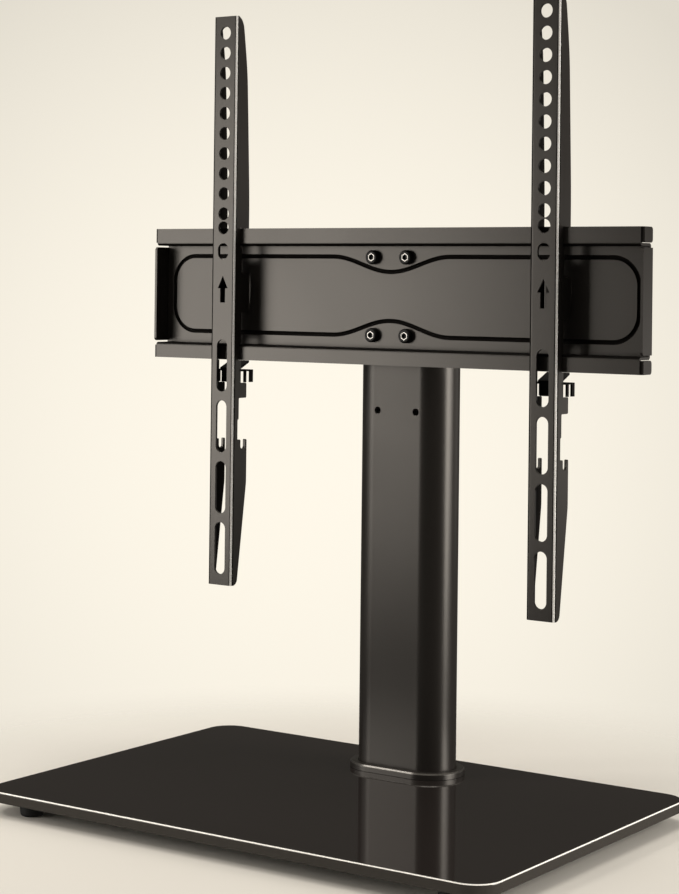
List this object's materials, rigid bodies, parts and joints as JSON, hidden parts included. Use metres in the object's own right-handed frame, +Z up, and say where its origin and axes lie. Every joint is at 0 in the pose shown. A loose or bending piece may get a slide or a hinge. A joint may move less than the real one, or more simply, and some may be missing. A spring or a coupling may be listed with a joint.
{
  "type": "tv stand with mount",
  "caption": "Table-top TV stand: dark glass foot on rubber feet, flat-oval column, pressed carrier plate and two hooked upright arms that slide along it and lock.",
  "frame": {"origin": "on the table under the middle of the glass foot", "axes": "+X to the right seen from the front, +Y to the back, +Z up; the television faces -Y"},
  "size_m": [0.432, 0.29, 0.591],
  "materials": {
    "black_paint": "satin black powder coat, fine grained",
    "dark_glass": "black tempered glass, polished top, ground and eased edges",
    "black_rubber": "matt black rubber",
    "black_plastic": "moulded black plastic, fine grained",
    "blackened_steel": "black oxide with a bright socket rim",
    "zinc_steel": "zinc plated"
  },
  "bodies": {
    "stand": {"base_glass": "dark_glass", "front_left_foot": "black_rubber", "front_right_foot": "black_rubber", "back_left_foot": "black_rubber", "back_right_foot": "black_rubber", "lower_gasket": "black_rubber", "clamp_plate": "black_paint", "upper_gasket": "black_rubber", "column_foot_plate": "zinc_steel", "base_collar": "black_paint", "left_base_washer": "zinc_steel", "left_base_bolt": "zinc_steel", "right_base_washer": "zinc_steel", "right_base_bolt": "zinc_steel", "column_tube": "black_paint", "column_top_cap": "black_plastic", "column_nut_strip": "zinc_steel", "carrier_plate": "black_paint", "standoff_bracket": "black_paint", "upper_left_bracket_screw": "zinc_steel", "upper_right_bracket_screw": "zinc_steel", "lower_left_bracket_screw": "zinc_steel", "lower_right_bracket_screw": "zinc_steel", "upper_left_plate_bolt": "blackened_steel", "upper_right_plate_bolt": "blackened_steel", "lower_left_plate_bolt": "blackened_steel", "lower_right_plate_bolt": "blackened_steel"},
    "left_arm": {"left_arm": "black_paint"},
    "left_lock": {"left_lock": "black_plastic"},
    "right_arm": {"right_arm": "black_paint"},
    "right_lock": {"right_lock": "black_plastic"}
  },
  "joints": [
    {"name": "left_arm_slide", "type": "slide", "parent": "stand", "child": "left_arm", "axis": [1, 0, 0], "range_m": [-0.058, 0.1045]},
    {"name": "right_arm_slide", "type": "slide", "parent": "stand", "child": "right_arm", "axis": [1, 0, 0], "range_m": [-0.1045, 0.058]},
    {"name": "left_lock_slide", "type": "slide", "parent": "left_arm", "child": "left_lock", "axis": [0, 0, 1], "range_m": [0, 0.008]},
    {"name": "right_lock_slide", "type": "slide", "parent": "right_arm", "child": "right_lock", "axis": [0, 0, 1], "range_m": [0, 0.008]}
  ]
}
